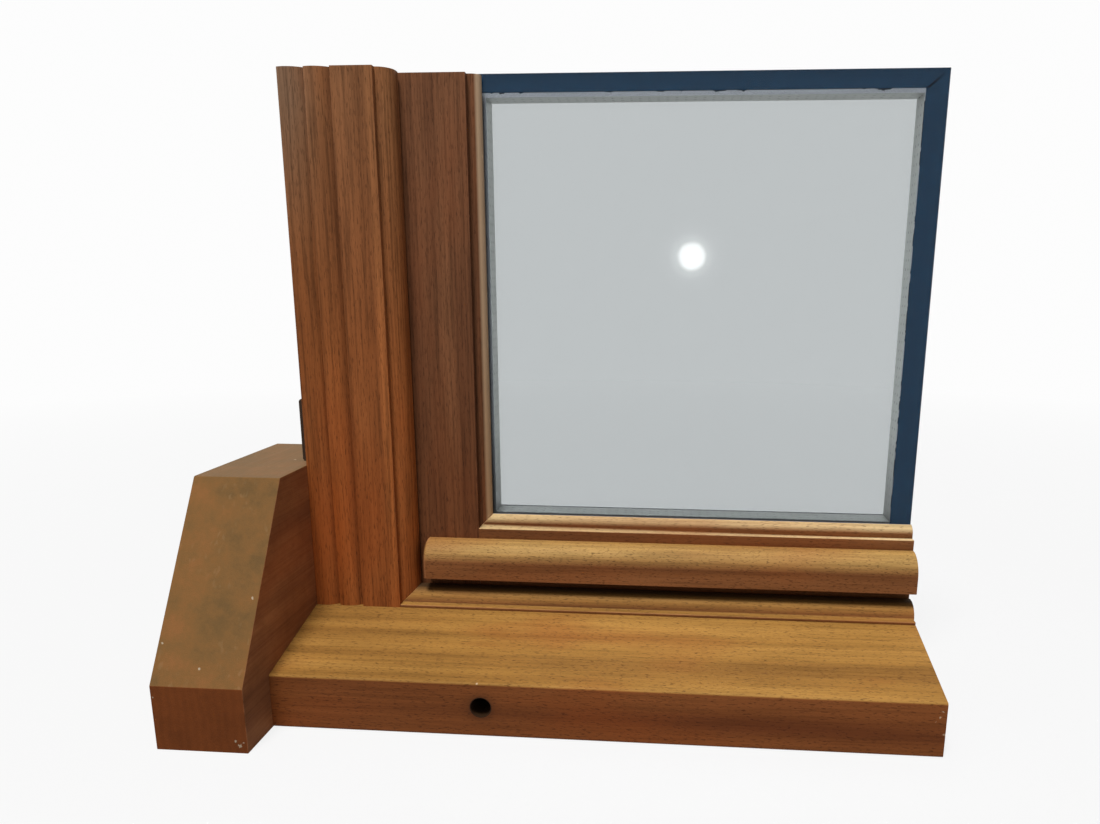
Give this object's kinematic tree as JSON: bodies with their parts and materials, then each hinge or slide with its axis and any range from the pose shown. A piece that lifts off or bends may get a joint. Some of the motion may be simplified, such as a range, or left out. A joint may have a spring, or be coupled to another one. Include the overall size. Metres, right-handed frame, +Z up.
{
  "type": "corner section of a double-glazed wooden casement window",
  "caption": "Corner of a double-glazed wooden casement cut off square, with reeded frame jamb, weathered sill on a support foot, and a sash that opens inwards on barrel hinges.",
  "frame": {"origin": "on the floor under the frame's weather face, halfway along the sill's length", "axes": "+X along the sill from the jamb to the cut end, +Y from the weather side to the room, +Z up"},
  "size_m": [0.478, 0.197, 0.412],
  "materials": {
    "frame_wood": "satin red-brown mahogany glaze",
    "sill_wood": "satin red-brown mahogany glaze",
    "sash_wood": "satin brown mahogany glaze",
    "foot_wood": "matt brown stain, scuffed",
    "dark_wood": "matt black-brown stain",
    "glass": "clear float glass",
    "spacer": "satin mill finish",
    "seal": "matt blue-black sealant",
    "key": "matt black",
    "tape": "matt black foam",
    "gasket": "matt black",
    "steel": "satin"
  },
  "bodies": {
    "frame": {"support_foot": "foot_wood", "foot_screws": "steel", "fixing_cleat": "dark_wood", "frame_jamb": "frame_wood", "frame_pin": "frame_wood", "frame_bottom_rail": "frame_wood", "sill": "sill_wood", "frame_gasket": "gasket", "lower_hinge_frame_leaf": "steel", "upper_hinge_frame_leaf": "steel", "lower_hinge_pin": "steel", "upper_hinge_pin": "steel", "frame_hinge_screws": "steel"},
    "sash": {"sash_stile": "sash_wood", "sash_bottom_rail": "sash_wood", "sash_pins": "sash_wood", "weather_bar": "sash_wood", "outer_pane": "glass", "inner_pane": "glass", "spacer_left": "spacer", "spacer_right": "spacer", "spacer_bottom": "spacer", "spacer_top": "spacer", "spacer_keys": "key", "edge_seal_left": "seal", "edge_seal_right": "seal", "edge_seal_bottom": "seal", "edge_seal_top": "seal", "setting_blocks": "key", "outer_glazing_tape": "tape", "inner_glazing_tape": "tape", "glazing_bead_upright": "sash_wood", "glazing_bead_bottom": "sash_wood", "lower_hinge_sash_leaf": "steel", "upper_hinge_sash_leaf": "steel", "sash_hinge_screws": "steel"}
  },
  "joints": [
    {"name": "sash_swing", "type": "hinge", "parent": "frame", "child": "sash", "pos_m": [-0.1515, 0.0825, 0.2], "axis": [0, 0, 1], "range_deg": [0, 110]}
  ]
}
